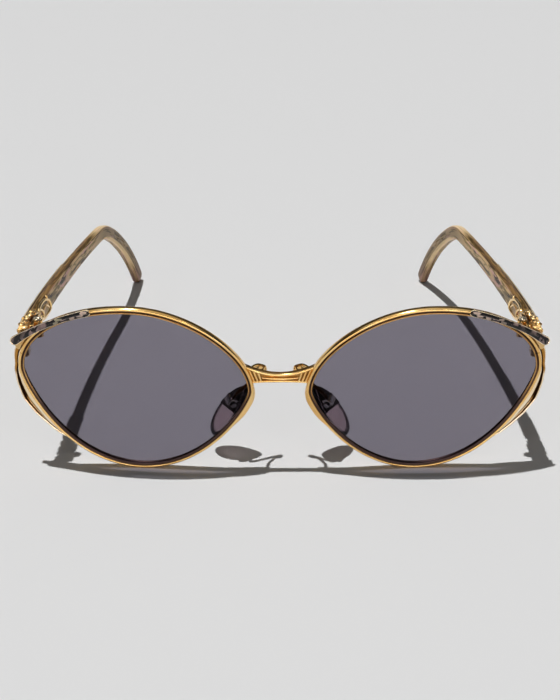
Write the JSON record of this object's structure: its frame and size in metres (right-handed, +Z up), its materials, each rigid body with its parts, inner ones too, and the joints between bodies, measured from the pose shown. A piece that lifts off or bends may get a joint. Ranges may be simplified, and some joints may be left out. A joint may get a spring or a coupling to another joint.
{
  "type": "sunglasses",
  "caption": "Sunglasses with oval grey lenses in a gold wire front, marbled brow trims, rocking nose pads and folding temples with a curved ear bend.",
  "frame": {"origin": "on the table under the middle of the whole, between the rims and the temple tips", "axes": "+X towards the wearer's left, +Y back along the open temples, +Z up from the table; the lenses face -Y"},
  "size_m": [0.1374, 0.1344, 0.0492],
  "materials": {
    "gold": "polished gold plate",
    "screw_steel": "small gilt steel",
    "core_wire": "gilt wire",
    "lens_tint": "grey tint, polished",
    "enamel": "marbled brown and bone, black veins",
    "pearl_plastic": "translucent marbled beige and brown",
    "pad_silicone": "clear, soft"
  },
  "bodies": {
    "front": {"bridge": "gold", "left_eyewire": "gold", "left_lens": "lens_tint", "left_brow_trim": "enamel", "left_outer_arc": "gold", "left_nasal_crescent": "gold", "left_closing_block": "gold", "left_closing_screw": "screw_steel", "left_pad_arm": "gold", "left_pad_box": "gold", "left_pad_screw": "screw_steel", "left_endpiece": "gold", "left_hinge_front_leaf": "gold", "left_hinge_screw": "screw_steel", "right_eyewire": "gold", "right_lens": "lens_tint", "right_brow_trim": "enamel", "right_outer_arc": "gold", "right_nasal_crescent": "gold", "right_closing_block": "gold", "right_closing_screw": "screw_steel", "right_pad_arm": "gold", "right_pad_box": "gold", "right_pad_screw": "screw_steel", "right_endpiece": "gold", "right_hinge_front_leaf": "gold", "right_hinge_screw": "screw_steel"},
    "left_temple": {"left_hinge_temple_leaf": "gold", "left_temple_ferrule": "gold", "left_temple_core": "core_wire", "left_temple_sleeve": "pearl_plastic"},
    "left_pad": {"left_pad_insert": "screw_steel", "left_nose_pad": "pad_silicone"},
    "right_temple": {"right_hinge_temple_leaf": "gold", "right_temple_ferrule": "gold", "right_temple_core": "core_wire", "right_temple_sleeve": "pearl_plastic"},
    "right_pad": {"right_pad_insert": "screw_steel", "right_nose_pad": "pad_silicone"}
  },
  "joints": [
    {"name": "left_temple_fold", "type": "hinge", "parent": "front", "child": "left_temple", "pos_m": [0.06248, -0.05492, 0.03788], "axis": [0, 0.0569, 0.9984], "range_deg": [0, 86]},
    {"name": "right_temple_fold", "type": "hinge", "parent": "front", "child": "right_temple", "pos_m": [-0.06248, -0.05492, 0.03788], "axis": [0, -0.0569, -0.9984], "range_deg": [0, 80]},
    {"name": "left_pad_rock", "type": "hinge", "parent": "front", "child": "left_pad", "pos_m": [0.01285, -0.05664, 0.01794], "axis": [-0.338, -0.8912, -0.3025], "range_deg": [-8, 8]},
    {"name": "right_pad_rock", "type": "hinge", "parent": "front", "child": "right_pad", "pos_m": [-0.01285, -0.05664, 0.01794], "axis": [-0.338, 0.8912, 0.3025], "range_deg": [-8, 8]}
  ]
}
